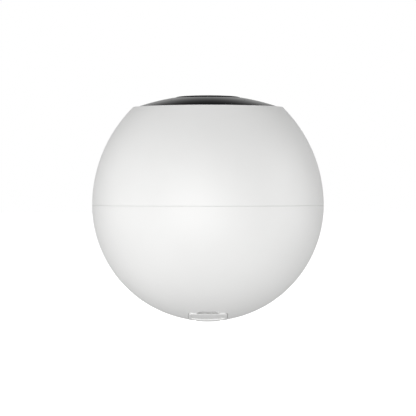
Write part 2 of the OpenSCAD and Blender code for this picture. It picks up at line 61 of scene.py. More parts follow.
def place_camera():
    """A long lens about a metre in front of the flap side, just above the seam."""
    camera = bpy.data.objects.new("camera", bpy.data.cameras.new("camera"))
    scene.collection.objects.link(camera)
    camera.data.lens = 202.1
    camera.data.sensor_width = 36
    camera.location = (0.00002, -1.0096, seam_z + 0.0083)
    aim = Vector((0.00002, 0, seam_z - 0.00118)) - camera.location
    camera.rotation_euler = aim.to_track_quat("-Z", "Y").to_euler()
    scene.camera = camera


def soft_box(name, power, size, place, aim=(0, 0, 0.05), tall=None):
    lamp = bpy.data.lights.new(name, "AREA")
    lamp.shape = "RECTANGLE"
    lamp.size = size
    lamp.size_y = tall or size
    lamp.energy = power
    box = bpy.data.objects.new(name, lamp)
    scene.collection.objects.link(box)
    box.location = place
    box.rotation_euler = (Vector(aim) - Vector(place)).to_track_quat("-Z", "Y").to_euler()
    return box


place_camera()
scene.view_settings.view_transform = "Standard"


# ---- materials ----

def linear(code):
    """An sRGB hex colour as linear RGBA."""
    parts = [int(code[i:i + 2], 16) / 255 for i in (1, 3, 5)]
    parts = [v / 12.92 if v <= 0.04045 else ((v + 0.055) / 1.055) ** 2.4 for v in parts]
    return (*parts, 1.0)


def node(tree, kind, inputs=None, links=None, **settings):
    """Adds a node with its settings, socket values and incoming links."""
    made = tree.nodes.new(kind)
    for key, value in settings.items():
        setattr(made, key, value)
    for key, value in (inputs or {}).items():
        made.inputs[key].default_value = value
    for key, source in (links or {}).items():
        tree.links.new(source, made.inputs[key])
    return made


def finish(name, colour, roughness, **sockets):
    """A new material with its constants set on the shader's own sockets."""
    material = bpy.data.materials.new(name)
    material.use_nodes = True
    shader = material.node_tree.nodes["Principled BSDF"]
    shader.inputs["Base Color"].default_value = linear(colour)
    shader.inputs["Roughness"].default_value = roughness
    for key, value in sockets.items():
        shader.inputs[key.replace("_", " ")].default_value = value
    return material, material.node_tree, shader


def grain(tree, shader, pitch_mm, depth_mm, detail=2.0, stretch=(1, 1, 1)):
    """Fine random relief at a real pitch and depth."""
    coords = node(tree, "ShaderNodeTexCoord")
    placed = node(tree, "ShaderNodeMapping", {"Scale": stretch},
                  {"Vector": coords.outputs["Object"]})
    noise = node(tree, "ShaderNodeTexNoise", {"Scale": 1 / (pitch_mm * MM), "Detail": detail},
                 {"Vector": placed.outputs["Vector"]})
    bump = node(tree, "ShaderNodeBump", {"Strength": 1.0, "Distance": depth_mm * MM},
                {"Height": noise.outputs["Fac"]})
    tree.links.new(bump.outputs["Normal"], shader.inputs["Normal"])
    return placed, noise


def cloud(tree, placed, socket, pitch_mm, low, high, detail=3.0):
    """Slow variation of a colour or a number between low and high."""
    noise = node(tree, "ShaderNodeTexNoise", {"Scale": 1 / (pitch_mm * MM), "Detail": detail},
                 {"Vector": placed.outputs["Vector"]})
    if isinstance(low, str):
        ramp = node(tree, "ShaderNodeValToRGB", links={"Fac": noise.outputs["Fac"]})
        ramp.color_ramp.elements[0].position = 0.35
        ramp.color_ramp.elements[1].position = 0.65
        ramp.color_ramp.elements[0].color = linear(low)
        ramp.color_ramp.elements[1].color = linear(high)
        tree.links.new(ramp.outputs["Color"], socket)
    else:
        spread = node(tree, "ShaderNodeMapRange",
                      {"From Min": 0.3, "From Max": 0.7, "To Min": low, "To Max": high},
                      {"Value": noise.outputs["Fac"]})
        tree.links.new(spread.outputs["Result"], socket)


def make_white_abs():
    # white ABS, moulded in a fine spark-eroded tool: an even satin skin, with a
    # grain of about 0.25 mm that only shows close up
    material, tree, shader = finish("white_abs_spark_eroded", "#F1F1F0", 0.42, IOR=1.53)
    placed, _ = grain(tree, shader, 0.25, 0.004)
    cloud(tree, placed, shader.inputs["Roughness"], 9, 0.39, 0.46)
    cloud(tree, placed, shader.inputs["Base Color"], 30, "#F0F0EF", "#F2F2F1")
    return material


def make_gloss_black():
    # black PMMA, polished tool: piano gloss with a faint orange peel 4 mm across
    material, tree, shader = finish("black_pmma_polished", "#08080A", 0.07, IOR=1.49)
    placed, _ = grain(tree, shader, 4, 0.004, 1.0)
    cloud(tree, placed, shader.inputs["Roughness"], 6, 0.06, 0.1)
    return material


def make_soft_black():
    # black polycarbonate with a sprayed soft-touch lacquer: velvety, close to matt
    material, tree, shader = finish("black_soft_touch_lacquer", "#121214", 0.75, IOR=1.5,
                                    Specular_IOR_Level=0.2)
    placed, _ = grain(tree, shader, 0.2, 0.006)
    cloud(tree, placed, shader.inputs["Roughness"], 5, 0.72, 0.82)
    return material


def make_black_plastic():
    # black glass-filled nylon, moulded: dull, with a slightly mottled skin
    material, tree, shader = finish("black_nylon_moulded", "#18181A", 0.55, IOR=1.53)
    placed, _ = grain(tree, shader, 0.4, 0.01)
    cloud(tree, placed, shader.inputs["Base Color"], 3, "#161618", "#1D1D20")
    return material


def make_white_silicone():
    # white silicone, compression moulded: matt and faintly dusty
    material, tree, shader = finish("white_silicone_moulded", "#DCDCDA", 0.72, IOR=1.41)
    placed, _ = grain(tree, shader, 0.3, 0.01)
    cloud(tree, placed, shader.inputs["Base Color"], 2, "#D8D8D6", "#E2E2E0")
    return material


def make_black_rubber():
    # black EPDM and nitrile foam: matt, open-grained
    material, tree, shader = finish("black_rubber_moulded", "#1B1B1C", 0.85, IOR=1.52)
    placed, _ = grain(tree, shader, 0.35, 0.02)
    cloud(tree, placed, shader.inputs["Base Color"], 1.5, "#171718", "#232325")
    return material


def make_diffuser():
    # opal polycarbonate, frosted: milky, light passes a little way in
    material, tree, shader = finish("opal_polycarbonate_frosted", "#B9BEC4", 0.5, IOR=1.58,
                                    Subsurface_Weight=0.3, Subsurface_Scale=0.001)
    placed, _ = grain(tree, shader, 0.15, 0.004)
    cloud(tree, placed, shader.inputs["Roughness"], 2, 0.45, 0.58)
    return material


def make_zinc_steel():
    # zinc-plated steel: bluish grey, slightly clouded from the bath
    material, tree, shader = finish("steel_zinc_plated", "#B4B8BD", 0.32, Metallic=1.0)
    placed, _ = grain(tree, shader, 0.12, 0.003, 3.0)
    cloud(tree, placed, shader.inputs["Base Color"], 1.2, "#A9ADB3", "#C3C6C9")
    return material


def make_turned_steel():
    # mild steel, turned on a lathe: fine rings around the axis
    material, tree, shader = finish("steel_turned", "#A8ABAE", 0.3, Metallic=1.0)
    coords = node(tree, "ShaderNodeTexCoord")
    rings = node(tree, "ShaderNodeTexWave", {"Scale": 250.0, "Distortion": 0.4, "Detail": 2.0},
                 {"Vector": coords.outputs["Object"]}, wave_type="RINGS", rings_direction="Z")
    bump = node(tree, "ShaderNodeBump", {"Strength": 0.6, "Distance": 0.00001},
                {"Height": rings.outputs["Fac"]})
    tree.links.new(bump.outputs["Normal"], shader.inputs["Normal"])
    cloud(tree, coords_as_placed(tree, coords), shader.inputs["Base Color"], 4,
          "#A2A5A8", "#B2B5B8")
    return material


def coords_as_placed(tree, coords):
    return node(tree, "ShaderNodeMapping", links={"Vector": coords.outputs["Object"]})


def make_tin():
    # tin-plated sheet, stamped: soft bright grey with a faint rolling grain
    material, tree, shader = finish("tin_plated_sheet", "#C9C9C6", 0.28, Metallic=1.0)
    placed, _ = grain(tree, shader, 0.3, 0.002, 3.0, (1, 12, 12))
    cloud(tree, placed, shader.inputs["Roughness"], 2, 0.24, 0.36)
    return material


def make_ferrite():
    # sintered ferrite, ground on its faces: charcoal, faintly sparkling
    material, tree, shader = finish("ferrite_ground", "#2B2B2D", 0.5, IOR=2.3)
    placed, _ = grain(tree, shader, 0.2, 0.01, 4.0)
    cloud(tree, placed, shader.inputs["Base Color"], 0.8, "#262628", "#363638")
    return material


def make_basket_paint():
    # pressed steel under black e-coat: smooth semi-gloss skin
    material, tree, shader = finish("steel_black_e_coat", "#151517", 0.35, IOR=1.5)
    placed, _ = grain(tree, shader, 1.2, 0.01)
    cloud(tree, placed, shader.inputs["Roughness"], 3, 0.3, 0.42)
    return material


def make_paper():
    # black paper pulp, pressed: fibres a few tenths of a millimetre across
    material, tree, shader = finish("paper_cone_pressed", "#232325", 0.9, IOR=1.5)
    placed, _ = grain(tree, shader, 0.35, 0.06, 5.0)
    cloud(tree, placed, shader.inputs["Base Color"], 0.7, "#1D1D1F", "#303032")
    return material


def make_spider_cloth():
    # cotton cloth dipped in resin: warm yellow-brown, threads 0.5 mm apart
    material, tree, shader = finish("cotton_resin_dipped", "#B88A3C", 0.8, IOR=1.5)
    coords = node(tree, "ShaderNodeTexCoord")
    across = node(tree, "ShaderNodeTexWave", {"Scale": 640.0, "Distortion": 0.6},
                  {"Vector": coords.outputs["Object"]}, bands_direction="X")
    along = node(tree, "ShaderNodeTexWave", {"Scale": 640.0, "Distortion": 0.6},
                 {"Vector": coords.outputs["Object"]}, bands_direction="Y")
    woven = node(tree, "ShaderNodeMath", links={0: across.outputs["Fac"], 1: along.outputs["Fac"]},
                 operation="MULTIPLY")
    bump = node(tree, "ShaderNodeBump", {"Strength": 1.0, "Distance": 0.00008},
                {"Height": woven.outputs[0]})
    tree.links.new(bump.outputs["Normal"], shader.inputs["Normal"])
    cloud(tree, coords_as_placed(tree, coords), shader.inputs["Base Color"], 1.5,
          "#A87A2E", "#C79A4C")
    return material


def make_film():
    # polyimide film, wound: amber and slightly shiny
    material, tree, shader = finish("polyimide_film_wound", "#B5752A", 0.25, IOR=1.7)
    placed, _ = grain(tree, shader, 0.8, 0.005)
    cloud(tree, placed, shader.inputs["Base Color"], 3, "#A96A22", "#BF8035")
    return material


def make_copper_winding():
    # enamelled copper wire, layer wound: turns 0.25 mm apart, drawn 0.5 mm apart so
    # that they show
    material, tree, shader = finish("copper_enamelled_wound", "#B4622F", 0.28, Metallic=1.0)
    coords = node(tree, "ShaderNodeTexCoord")
    turns = node(tree, "ShaderNodeTexWave", {"Scale": 640.0},
                 {"Vector": coords.outputs["Object"]}, bands_direction="Z")
    bump = node(tree, "ShaderNodeBump", {"Strength": 1.0, "Distance": 0.0002},
                {"Height": turns.outputs["Fac"]})
    tree.links.new(bump.outputs["Normal"], shader.inputs["Normal"])
    cloud(tree, coords_as_placed(tree, coords), shader.inputs["Base Color"], 2,
          "#A9582A", "#C4713B")
    return material


def make_solder_mask():
    # FR4 under green solder mask: glossy, with copper tracks that raise the mask
    material, tree, shader = finish("fr4_green_solder_mask", "#0B4A2C", 0.25, IOR=1.55)
    coords = node(tree, "ShaderNodeTexCoord")
    tracks = node(tree, "ShaderNodeTexBrick",
                  {"Scale": 1.0, "Mortar Size": 0.0002, "Brick Width": 0.0052,
                   "Row Height": 0.0011, "Color1": linear("#0A4A2B"), "Color2": linear("#0C5231"),
                   "Mortar": linear("#1C7A4A")},
                  {"Vector": coords.outputs["Object"]})
    tree.links.new(tracks.outputs["Color"], shader.inputs["Base Color"])
    bump = node(tree, "ShaderNodeBump", {"Strength": 0.7, "Distance": 0.00004},
                {"Height": tracks.outputs["Fac"]})
    tree.links.new(bump.outputs["Normal"], shader.inputs["Normal"])
    return material


def make_led():
    # LED with a phosphor-filled silicone cap: warm yellow and slightly cloudy
    material, tree, shader = finish("phosphor_silicone_cast", "#E8D98A", 0.35, IOR=1.41,
                                    Subsurface_Weight=0.2, Subsurface_Scale=0.0005)
    placed, _ = grain(tree, shader, 0.1, 0.004)
    cloud(tree, placed, shader.inputs["Base Color"], 0.5, "#E2D07A", "#EFE39C")
    return material


def make_epoxy():
    # black epoxy, transfer moulded over the chip: dull and finely pitted
    material, tree, shader = finish("epoxy_transfer_moulded", "#1A1A1B", 0.6, IOR=1.55)
    placed, _ = grain(tree, shader, 0.12, 0.008, 3.0)
    cloud(tree, placed, shader.inputs["Base Color"], 0.6, "#161617", "#222223")
    return material


def make_nylon():
    # natural nylon connector housing, moulded: ivory, slightly waxy
    material, tree, shader = finish("nylon_ivory_moulded", "#DDD6C0", 0.42, IOR=1.53)
    placed, _ = grain(tree, shader, 0.3, 0.006)
    cloud(tree, placed, shader.inputs["Base Color"], 2, "#D8D0B8", "#E4DECB")
    return material


def make_cell_wrap():
    # PVC sleeve, heat-shrunk: blue and glossy, with slight ripples
    material, tree, shader = finish("pvc_sleeve_heat_shrunk", "#1D5C94", 0.28, IOR=1.54)
    placed, _ = grain(tree, shader, 3, 0.03, 1.0, (0.3, 1, 1))
    cloud(tree, placed, shader.inputs["Roughness"], 4, 0.22, 0.36)
    return material


def make_brass():
    # brass, turned and knurled: warm yellow metal, ridges 0.5 mm apart
    material, tree, shader = finish("brass_knurled", "#C9A24B", 0.3, Metallic=1.0)
    coords = node(tree, "ShaderNodeTexCoord")
    ridges = node(tree, "ShaderNodeTexWave", {"Scale": 640.0},
                  {"Vector": coords.outputs["Object"]}, bands_direction="DIAGONAL")
    bump = node(tree, "ShaderNodeBump", {"Strength": 0.8, "Distance": 0.00012},
                {"Height": ridges.outputs["Fac"]})
    tree.links.new(bump.outputs["Normal"], shader.inputs["Normal"])
    cloud(tree, coords_as_placed(tree, coords), shader.inputs["Base Color"], 2,
          "#BF983F", "#D2AE5C")
    return material


def make_wire_sheath(name, colour, deeper):
    # PVC wire sheath, extruded: smooth, with faint streaks along its length
    material, tree, shader = finish(name, colour, 0.4, IOR=1.54)
    placed, _ = grain(tree, shader, 0.6, 0.01, 2.0, (1, 1, 0.2))
    cloud(tree, placed, shader.inputs["Base Color"], 3, deeper, colour)
    return material


def make_ribbon():
    # flat flexible cable: polyester over tinned strips 1 mm apart
    material, tree, shader = finish("flat_cable_laminated", "#D5D5CE", 0.35, IOR=1.6)
    coords = node(tree, "ShaderNodeTexCoord")
    strips = node(tree, "ShaderNodeTexWave", {"Scale": 320.0},
                  {"Vector": coords.outputs["Object"]}, bands_direction="Y")
    ramp = node(tree, "ShaderNodeValToRGB", links={"Fac": strips.outputs["Fac"]})
    ramp.color_ramp.elements[0].color = linear("#9A9C9C")
    ramp.color_ramp.elements[1].color = linear("#E2E2DC")
    tree.links.new(ramp.outputs["Color"], shader.inputs["Base Color"])
    return material


WHITE_ABS = make_white_abs()
GLOSS_BLACK = make_gloss_black()
SOFT_BLACK = make_soft_black()
BLACK_PLASTIC = make_black_plastic()
WHITE_SILICONE = make_white_silicone()
BLACK_RUBBER = make_black_rubber()
DIFFUSER = make_diffuser()
ZINC_STEEL = make_zinc_steel()
TURNED_STEEL = make_turned_steel()
TIN = make_tin()
FERRITE = make_ferrite()
BASKET_PAINT = make_basket_paint()
PAPER = make_paper()
SPIDER_CLOTH = make_spider_cloth()
FILM = make_film()
COPPER = make_copper_winding()
SOLDER_MASK = make_solder_mask()
LED = make_led()
EPOXY = make_epoxy()
NYLON = make_nylon()
CELL_WRAP = make_cell_wrap()
BRASS = make_brass()
RED_WIRE = make_wire_sheath("pvc_sheath_red", "#A81C1C", "#971717")
RIBBON = make_ribbon()


# ---- modelling helpers: heights are measured from the seam, in millimetres ----

def arc(centre, radius, start, stop, count):
    """Points on an arc, angles in degrees."""
    turns = [math.radians(start + (stop - start) * i / count) for i in range(count + 1)]
    return [(centre[0] + radius * math.cos(t), centre[1] + radius * math.sin(t)) for t in turns]


def draw_line(name, points):
    """A closed line drawn point by point, by extruding one vertex; points are (x, y, z)."""
    bpy.ops.object.select_all(action="DESELECT")
    bpy.ops.mesh.primitive_plane_add(size=0.001, location=(0, 0, 0))
    piece = bpy.context.object
    piece.name = name
    bpy.ops.object.mode_set(mode="EDIT")
    bpy.ops.mesh.select_mode(type="VERT")
    bpy.ops.mesh.select_all(action="SELECT")
    bpy.ops.mesh.merge(type="CENTER")
    spots = [Vector(p) * MM for p in points]
    bpy.ops.transform.translate(value=spots[0])
    for here, there in zip(spots, spots[1:] + spots[:1]):
        bpy.ops.mesh.extrude_region_move(TRANSFORM_OT_translate={"value": there - here})
    bpy.ops.mesh.select_all(action="SELECT")
    bpy.ops.mesh.remove_doubles(threshold=2e-6)
    return piece


def close_up(piece, smooth=30):
    """Ends edit mode with outward normals and soft shading between its sharp edges."""
    bpy.ops.mesh.select_all(action="SELECT")
    bpy.ops.mesh.remove_doubles(threshold=1e-6)
    bpy.ops.mesh.delete_loose()
    bpy.ops.mesh.select_all(action="SELECT")
    bpy.ops.mesh.normals_make_consistent(inside=False)
    bpy.ops.object.mode_set(mode="OBJECT")
    bpy.ops.object.shade_smooth_by_angle(angle=math.radians(smooth))
    return piece


def turned(name, outline, steps=192, smooth=30):
    """A piece turned about the upright axis from a closed outline of (radius, height)."""
    piece = draw_line(name, [(r, 0, z) for r, z in outline])
    bpy.ops.mesh.spin(steps=steps, angle=2 * math.pi, center=(0, 0, 0), axis=(0, 0, 1))
    return close_up(piece, smooth)


def plate(name, outline, low, high):
    """A flat plate from a closed outline of (x, y), between two heights."""
    piece = draw_line(name, [(x, y, low) for x, y in outline])
    bpy.ops.mesh.edge_face_add()
    bpy.ops.mesh.extrude_region_move(
        TRANSFORM_OT_translate={"value": (0, 0, (high - low) * MM)})
    return close_up(piece)


def rod(name, radius, low, high, at=(0, 0), sides=32):
    """An upright rod or bore cutter."""
    bpy.ops.object.select_all(action="DESELECT")
    bpy.ops.mesh.primitive_cylinder_add(
        vertices=sides, radius=radius * MM, depth=(high - low) * MM,
        location=(at[0] * MM, at[1] * MM, (low + high) / 2 * MM))
    piece = bpy.context.object
    piece.name = name
    bpy.ops.object.transform_apply(location=True)
    bpy.ops.object.shade_smooth_by_angle(angle=math.radians(30))
    return piece


def block(name, x, y, z, rounding=0.0):
    """A block between two corners, its edges rounded."""
    bpy.ops.object.select_all(action="DESELECT")
    bpy.ops.mesh.primitive_cube_add(
        size=1, location=[(a + b) / 2 * MM for a, b in (x, y, z)],
        scale=[(b - a) * MM for a, b in (x, y, z)])
    piece = bpy.context.object
    piece.name = name
    bpy.ops.object.transform_apply(location=True, rotation=True, scale=True)
    if rounding:
        bpy.ops.object.mode_set(mode="EDIT")
        bpy.ops.mesh.select_all(action="SELECT")
        bpy.ops.mesh.bevel(offset=rounding * MM, segments=3)
        close_up(piece)
    return piece


def choose(*pieces):
    bpy.ops.object.select_all(action="DESELECT")
    for piece in pieces:
        piece.select_set(True)
    bpy.context.view_layer.objects.active = pieces[0]


def settle(piece, shift=(0, 0, 0), turn=(0, 0, 0)):
    """Turns a piece about the origin and moves it, and writes that into its mesh."""
    piece.rotation_euler = turn
    piece.location = Vector(shift) * MM
    choose(piece)
    bpy.ops.object.transform_apply(location=True, rotation=True, scale=True)
    return piece


def at_port(piece):
    """From straight down to the port's direction."""
    return settle(piece, turn=(-PORT_ANGLE, 0, 0))


def gather(*pieces):
    choose(*pieces)
    bpy.ops.object.join()
    return pieces[0]


def carve(piece, tool, operation="DIFFERENCE"):
    """Cuts one piece with another, or joins them into one skin, and removes the tool."""
    choose(piece)
    cut = piece.modifiers.new("carve", "BOOLEAN")
    cut.operation = operation
    cut.solver = "EXACT"
    cut.object = tool
    bpy.ops.object.modifier_apply(modifier="carve")
    bpy.data.objects.remove(tool)
    return piece


def around(radius, angles):
    return [(radius * math.cos(math.radians(a)), radius * math.sin(math.radians(a)))
            for a in angles]


def hand_over(piece, body, material, slot, *nodes, smooth=30):
    """Lifts a finished piece to the seam's height and gives it its finish and its body."""
    settle(piece, (0, 0, seam_z / MM))
    if smooth:
        bpy.ops.object.shade_smooth_by_angle(angle=math.radians(smooth))
    piece.data.materials.clear()
    piece.data.materials.append(material)
    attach(piece, body)
    if nodes:
        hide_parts(*nodes)
    return piece


# ---- the white shell ----

SEAM_R = 0.09                         # softened corner on each side of the seam
SEAM_GAP = 0.02
TIE_AT = [60, 120, 240, 300]
LEG_AT = [30, 150, 210, 330]
EAR_AT = [0, 90, 180, 270]


def make_upper_shell():
    lip = (32.1, math.sqrt(59.0 ** 2 - 41.6 ** 2))
    lip_turn = math.degrees(math.atan2(lip[1], lip[0] + CROWN_IN))
    outline = arc((ball_r - SEAM_R, SEAM_GAP + SEAM_R), SEAM_R, -90, 0, 4)
    outline += arc((-CROWN_IN, 0), CROWN_R, 0.2, lip_turn, 56)
    outline += arc(lip, 0.5, lip_turn + 8, 180, 16)
    outline += [(31.6, 39.5)]
    outline += arc((-CROWN_IN, 0), 57, 43.9, 30.2, 10)
    outline += arc((24.3, 28.2), 0.3, 90, 180, 3) + arc((24.3, 26.3), 0.3, 180, 270, 3)
    outline += arc((-CROWN_IN, 0), 57, 27.1, 0, 18)
    outline += [(47.5, -1.4), (47.6, -1.5), (48.5, -1.5), (48.6, -1.4), (48.6, SEAM_GAP)]
    shell = turned("upper_shell_skin", outline, 256)
    posts = [rod("post", 3.6, 0.05, 26.4, p) for p in around(28.5, TIE_AT)]
    posts += [rod("post", 2.5, 20, 26.4, p) for p in around(27.9, LEG_AT)]
    posts += [rod("post", 2.5, 22, 26.4, p) for p in around(27.5, EAR_AT)]
    carve(shell, gather(*posts), "UNION")
    bores = [rod("bore", 1.6, -1, 30, p) for p in around(28.5, TIE_AT)]
    bores += [rod("bore", 1.0, 20.5, 30, p) for p in around(27.9, LEG_AT)]
    bores += [rod("bore", 1.2, 22.5, 30, p) for p in around(27.5, EAR_AT)]
    bores += [block("bore", (33.2, 34.8), (-4.6, 4.6), (25, 30))]
    carve(shell, gather(*bores))
    return hand_over(shell, "housing", WHITE_ABS, "shell_white", "upper_shell")


def flap_outline(grow, back):
    """The flap from below, -y towards its free end, with its corners rounded."""
    half, free, corner = 8.15 + grow, -6.1 - grow, 2.2 + grow
    points = arc((corner - half, free + corner), corner, 180, 270, 10)
    points += arc((half - corner, free + corner), corner, 270, 360, 10)
    if back < 6:
        points += arc((half - 0.5, back - 0.5), 0.5, 0, 90, 4)
        points += arc((0.5 - half, back - 0.5), 0.5, 90, 180, 4)
    else:
        points += [(half, back), (-half, back)]
    return points


def make_scoop_tool():
    """A long round-ended bar that leaves the fingernail scoop."""
    outline = arc((0, 3.6), 1.15, 90, 0, 12) + arc((0, -3.6), 1.15, 0, -90, 12)
    tool = turned("scoop_tool", outline, 48)
    settle(tool, turn=(0, math.pi / 2, 0))
    settle(tool, (0, 0, -ball_r))
    return settle(tool, turn=(math.radians(-24.75), 0, 0))


def pill(width, height, count=12):
    reach = (width - height) / 2
    return (arc((reach, 0), height / 2, -90, 90, count)
            + arc((-reach, 0), height / 2, 90, 270, count))


def make_lower_shell():
    rim = math.degrees(math.acos(5.45 / ball_r))
    outline = arc((ball_r - SEAM_R, -SEAM_GAP - SEAM_R), SEAM_R, 90, 0, 4)
    outline += arc((0, 0), ball_r, -0.25, -rim + 0.25, 90)
    outline += [(5.5, -49.62), (5.45, -49.5), (5.45, -48.6), (1.6, -48.6), (1.6, -46.05)]
    outline += arc((0, 0), 46.02, -88, -79.4, 4)
    outline += arc((0, 0), 47.5, -79.7, -2.2, 40)
    outline += [(48.7, -1.8), (48.7, -SEAM_GAP)]
    shell = turned("lower_shell_skin", outline, 256)

    posts = []
    for spot, radius, top in (
            [(p, 3.6, -0.05) for p in around(28.5, TIE_AT)]
            + [(p, 2.5, -5.6) for p in around(36, EAR_AT)]
            + [((x, y), 2.5, -29) for x in (-20, 20) for y in (-14, 14)]
            + [((0, 15), 2.5, -43), ((15, 2), 2.5, -43), ((-15, 2), 2.5, -43)]):
        reach = math.hypot(*spot) + radius
        posts.append(rod("post", radius, -math.sqrt(49.2 ** 2 - reach ** 2), top, spot))
    carve(shell, gather(*posts), "UNION")
    inner = [block("block", (-10.5, 10.5), (-9.5, 9.5), (-47.8, -45.5))]
    inner += [rod("post", 2.0, -48, -39.85, (x, -0.4)) for x in (-11.5, 11.5)]
    for tool in inner:
        carve(shell, at_port(tool), "UNION")

    carve(shell, at_port(plate("pocket", flap_outline(0.25, 6.5), -52, -48.35)))
    carve(shell, at_port(block("trough", (-8.4, 8.4), (4, 8.21), (-52, -47.2))))
    port = [(x, y - 0.4) for x, y in pill(9.4, 3.6)]
    carve(shell, at_port(plate("port", port, -49.5, -44)))
    lugs = []
    for side in (-1, 1):
        lug = rod("lug", 0.7, -1.35, 1.35, sides=24)
        settle(lug, turn=(0, math.pi / 2, 0))
        settle(lug, (side * 6.7, 7.01, -48.34))
        lugs.append(lug)
        lugs.append(block("lug", (side * 6.7 - 1.33, side * 6.7 + 1.33), (6.33, 7.69),
                          (-48.3, -46.9)))
    for lug in lugs:
        carve(shell, at_port(lug), "UNION")
    pin = settle(rod("bore", 0.42, -8.2, 10, sides=24), turn=(0, math.pi / 2, 0))
    carve(shell, at_port(settle(pin, (0, 7.01, -48.34))))
    carve(shell, make_scoop_tool())
    bores = [rod("bore", 2.2, -7, 1, p) for p in around(28.5, TIE_AT)]
    bores += [rod("bore", 1.0, -13.6, 0, p) for p in around(36, EAR_AT)]
    bores += [rod("bore", 1.0, -36, -28, (x, y)) for x in (-20, 20) for y in (-14, 14)]
    carve(shell, gather(*bores))
    return hand_over(shell, "housing", WHITE_ABS, "shell_white", "lower_shell")


def on_plane(point, radius):
    """Where a point of the ball's outline lies on the plane that touches the ball's pole."""
    x, y = point
    rise = radius / math.sqrt(radius ** 2 - x * x - y * y)
    return (x * rise, y * rise, -radius)


def apply_modifier(piece, kind, **settings):
    choose(piece)
    modifier = piece.modifiers.new("shape", kind)
    for key, value in settings.items():
        setattr(modifier, key, value)
    bpy.ops.object.modifier_apply(modifier="shape")


def rounded(width, height, corner):
    """A rounded rectangle about the origin."""
    x, y = width / 2 - corner, height / 2 - corner
    return (arc((x, y), corner, 0, 90, 6) + arc((-x, y), corner, 90, 180, 6)
            + arc((-x, -y), corner, 180, 270, 6) + arc((x, -y), corner, 270, 360, 6))


def make_nail_relief():
    """Leaves a thin lip at the flap's free end, for a fingernail to reach under."""
    side = [(-6.9, -49.6), (-6.1, -49.66), (-4.6, -49.15), (-4.6, -47.8), (-6.9, -47.8)]
    relief = draw_line("nail_relief", [(-4.7, y, z) for y, z in side])
    bpy.ops.mesh.edge_face_add()
    bpy.ops.mesh.extrude_region_move(TRANSFORM_OT_translate={"value": (9.4 * MM, 0, 0)})
    return close_up(relief)


def make_port_flap():
    """A curved sheet cast on to the ball, thickened inwards, with its rim rounded over."""
    outer = 50.15
    flap = draw_line("port_flap_skin", [on_plane(p, outer) for p in flap_outline(0, 5.2)])
    for scale in (0.86, 0.84, 0.82, 0.8, 0.75, 0.6):
        bpy.ops.mesh.extrude_region_move(TRANSFORM_OT_translate={"value": (0, 0, 0)})
        bpy.ops.transform.resize(value=(scale, scale, 1), center_override=(0, 0, -0.05))
    bpy.ops.mesh.edge_face_add()
    bpy.ops.mesh.poke()
    bpy.ops.object.mode_set(mode="OBJECT")
    apply_modifier(flap, "CAST", cast_type="SPHERE", factor=1.0, radius=0.0, size=outer * MM)
    bpy.ops.object.mode_set(mode="EDIT")
    close_up(flap)
    apply_modifier(flap, "SOLIDIFY", thickness=1.55 * MM, offset=-1.0)
    apply_modifier(flap, "BEVEL", width=0.22 * MM, segments=5, limit_method="ANGLE",
                   angle_limit=math.radians(40))
    panel = turned("panel", arc((0, 0), outer - 0.08, -90, -76, 20)
                   + [(12.1, -53), (0, -53)], 96)
    reach = [(x, y - 1.55) for x, y in rounded(14.5, 7.5, 1.4)]
    carve(panel, plate("panel_rim", reach, -54, -47), "INTERSECT")
    carve(flap, panel)
    carve(flap, make_nail_relief())
    web = block("web", (-5, 5), (4.4, 7.01), (-49.05, -48.25))
    barrel = settle(rod("barrel", 0.8, -5, 5), turn=(0, math.pi / 2, 0))
    settle(barrel, (0, 7.01, -48.34))
    carve(flap, web, "UNION")
    carve(flap, barrel, "UNION")
    bore = settle(rod("bore", 0.45, -6, 6, sides=24), turn=(0, math.pi / 2, 0))
    carve(flap, settle(bore, (0, 7.01, -48.34)))
    boss = [(x, y - 0.4) for x, y in pill(8.6, 2.6)]
    carve(flap, plate("boss", boss, -48.8, -48.2), "UNION")
    at_port(flap)
    return hand_over(flap, "flap", WHITE_ABS, "flap_white", "port_flap")


def make_flap_seal():
    outline = [(x, y - 0.4) for x, y in pill(8.6, 2.6, 16)]
    plug = plate("flap_seal_skin", outline, -48.2, -47.4)
    choose(plug)
    bpy.ops.object.mode_set(mode="EDIT")
    bpy.ops.mesh.select_mode(type="EDGE")
    bpy.ops.mesh.select_all(action="DESELECT")
    bpy.ops.mesh.edges_select_sharp(sharpness=math.radians(60))
    bpy.ops.mesh.bevel(offset=0.25 * MM, segments=3)
    bpy.ops.mesh.select_mode(type="VERT")
    close_up(plug)
    at_port(plug)
    return hand_over(plug, "flap", WHITE_SILICONE, "foot_rubber", "flap_seal")


def make_base_pad():
    """Rubber foot with two grip rings and a plug that snaps through the shell."""
    outline = [(0, -50.05)]
    for ring in (1.2, 2.8):
        outline += [(ring, -50.05), (ring + 0.15, -49.9), (ring + 0.45, -49.9),
                    (ring + 0.6, -50.1), (ring + 1.0, -50.1)]
    outline += [(4.6, -50.03), (5.0, -49.94), (5.25, -49.84), (5.35, -49.7), (5.35, -48.6),
                (1.5, -48.6), (1.5, -46.5), (1.2, -46.2), (0, -46.2)]
    pad = turned("base_pad_skin", outline, 96)
    return hand_over(pad, "housing", WHITE_SILICONE, "foot_rubber", "base_pad")


# ---- the dome ----

def height_on(radius, top, r):
    return top - radius + math.sqrt(radius ** 2 - r * r)


